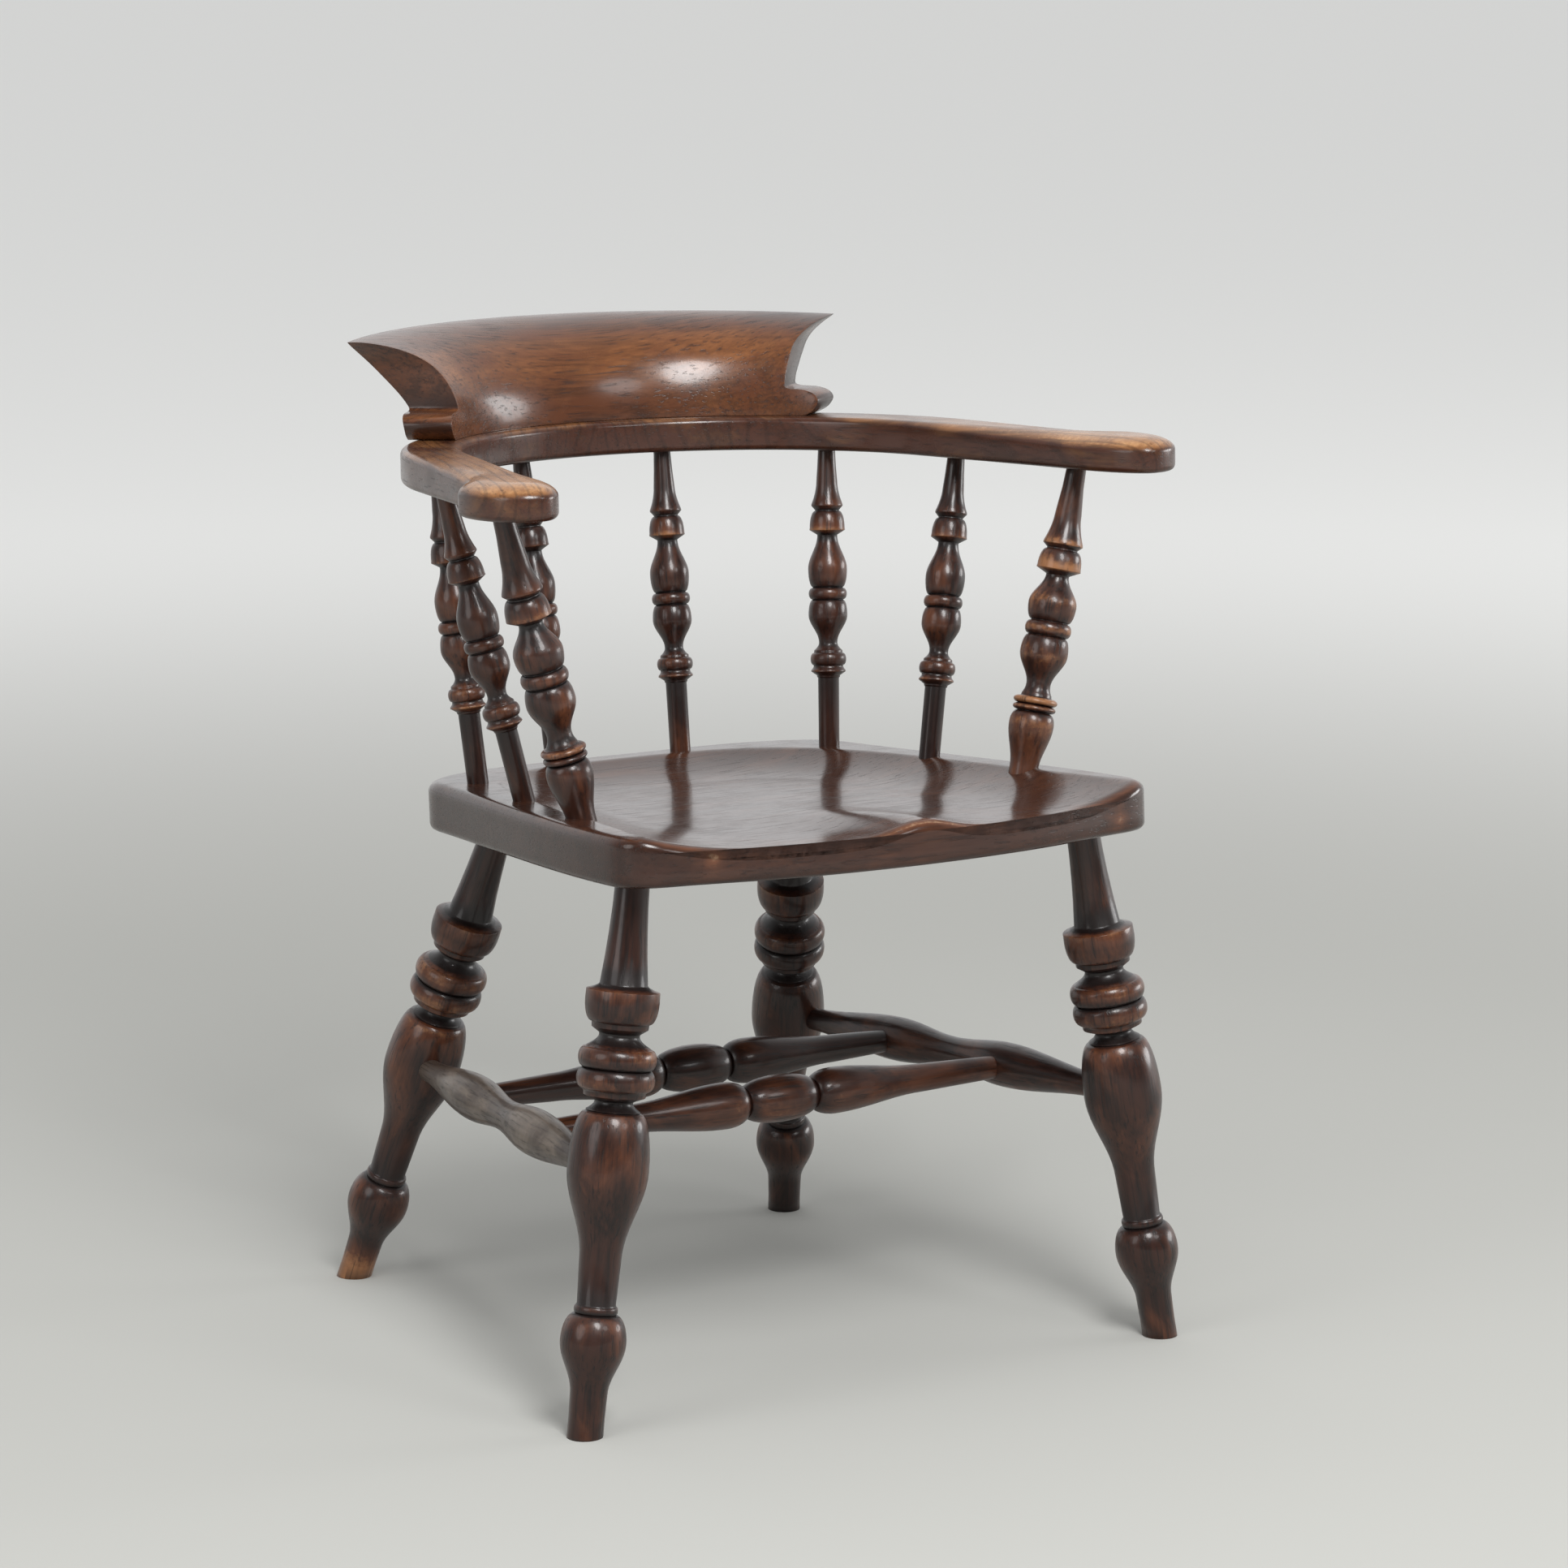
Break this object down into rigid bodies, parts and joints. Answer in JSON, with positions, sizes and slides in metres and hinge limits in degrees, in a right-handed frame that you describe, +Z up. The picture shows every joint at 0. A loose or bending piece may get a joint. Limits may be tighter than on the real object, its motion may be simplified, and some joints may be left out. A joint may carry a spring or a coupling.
{
  "type": "captains chair",
  "caption": "Smoker's bow captain's chair in dark stained hardwood: saddle seat, turned legs, stretchers and spindles, flat arm bow and a concave crest rail.",
  "frame": {"origin": "on the floor, under the middle of the chair's bounding box", "axes": "+Z up, the sitter faces -Y, +X towards the sitter's left"},
  "size_m": [0.6098, 0.5956, 0.7673],
  "materials": {
    "turned_wood": "dark brown stain under a satin wax polish",
    "seat_wood": "dark brown stain, glossy from wear",
    "arm_wood": "brown stain worn lighter on top, satin",
    "crest_wood": "reddish brown stain, satin to glossy",
    "screw_steel": "darkened steel"
  },
  "bodies": {
    "root": {"seat": "seat_wood", "leg_front_left": "turned_wood", "leg_front_right": "turned_wood", "leg_back_left": "turned_wood", "leg_back_right": "turned_wood", "side_stretcher_left": "turned_wood", "side_stretcher_right": "turned_wood", "cross_stretcher_front": "turned_wood", "cross_stretcher_rear": "turned_wood", "arm_post_left": "turned_wood", "spindle_side_left": "turned_wood", "spindle_corner_left": "turned_wood", "spindle_back_left": "turned_wood", "arm_post_right": "turned_wood", "spindle_side_right": "turned_wood", "spindle_corner_right": "turned_wood", "spindle_back_right": "turned_wood", "arm_bow_left": "arm_wood", "arm_bow_right": "arm_wood", "crest_rail": "crest_wood", "crest_screw_inner_left": "screw_steel", "crest_screw_outer_left": "screw_steel", "crest_screw_inner_right": "screw_steel", "crest_screw_outer_right": "screw_steel"}
  },
  "joints": []
}
